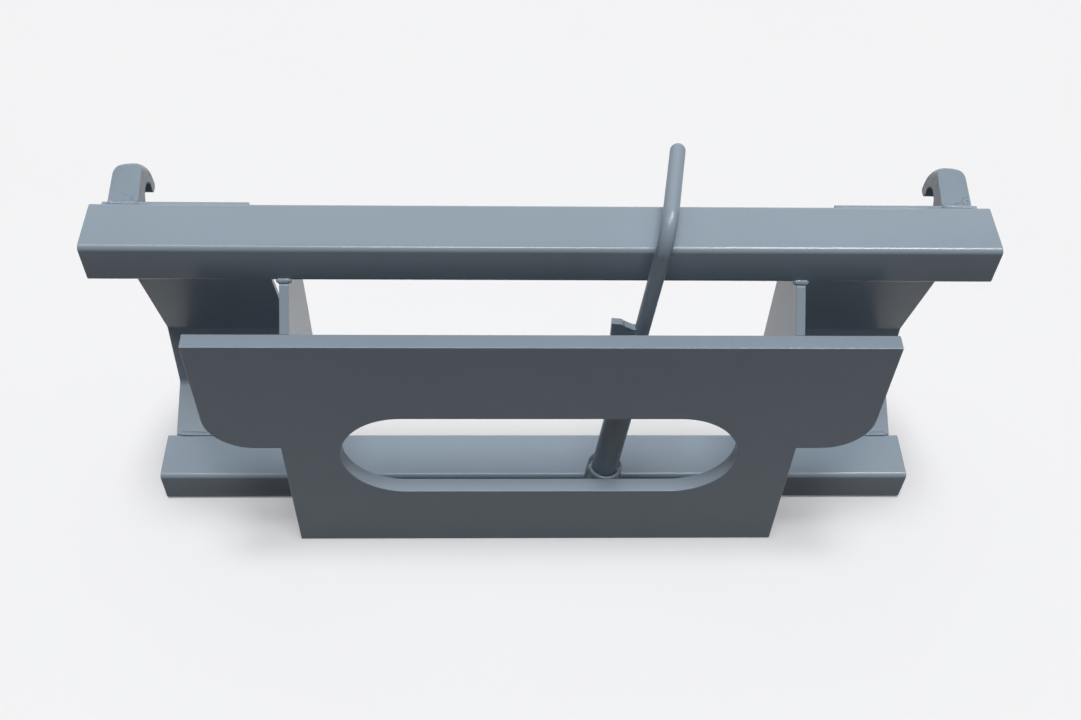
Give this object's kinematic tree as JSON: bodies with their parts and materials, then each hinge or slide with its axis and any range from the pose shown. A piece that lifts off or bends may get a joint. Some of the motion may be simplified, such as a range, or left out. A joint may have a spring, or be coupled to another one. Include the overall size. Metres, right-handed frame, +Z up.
{
  "type": "skid steer quick attach plate",
  "caption": "Quick attach adapter plate: a winged front plate with an oval window on two cross tubes, bent side plates with hooks behind, and a leaning lift-and-turn lock pin.",
  "frame": {"origin": "middle of the bottom tube's underside, on the floor", "axes": "+X along the tubes to the right as seen from the winged plate, +Y from the winged plate towards the hooks, +Z up"},
  "size_m": [1.143, 0.2538, 0.623],
  "materials": {
    "paint": "grey powder coat, satin, on steel tube and sheet",
    "plate_paint": "grey powder coat, satin, on burnt-out plate",
    "hook_paint": "grey powder coat, semi-gloss, on forged steel",
    "pin_paint": "grey powder coat, satin, on round bar",
    "weld_paint": "grey powder coat, semi-gloss, over rippled weld",
    "liner_steel": "bare turned steel"
  },
  "bodies": {
    "frame": {"top_tube": "paint", "bottom_tube": "paint", "front_plate": "plate_paint", "left_rib": "paint", "right_rib": "paint", "left_side_plate": "paint", "right_side_plate": "paint", "left_hook": "hook_paint", "right_hook": "hook_paint", "pin_sleeve": "paint", "pin_guide": "paint", "left_rib_welds": "weld_paint", "right_rib_welds": "weld_paint", "left_side_welds": "weld_paint", "right_side_welds": "weld_paint", "left_hook_welds": "weld_paint", "right_hook_welds": "weld_paint", "sleeve_welds": "weld_paint", "guide_welds": "weld_paint"},
    "liner": {"sleeve_liner": "liner_steel"},
    "pin": {"lock_pin": "pin_paint", "pin_handle": "pin_paint", "stop_lug": "pin_paint", "lug_weld": "weld_paint"}
  },
  "joints": [
    {"name": "pin_turn", "type": "hinge", "parent": "frame", "child": "liner", "pos_m": [0.087, -0.066, 0], "axis": [0.0941, 0, 0.9956], "range_deg": [-205, 25]},
    {"name": "pin_lift", "type": "slide", "parent": "liner", "child": "pin", "axis": [0.0941, 0, 0.9956], "range_m": [0, 0.16]}
  ]
}
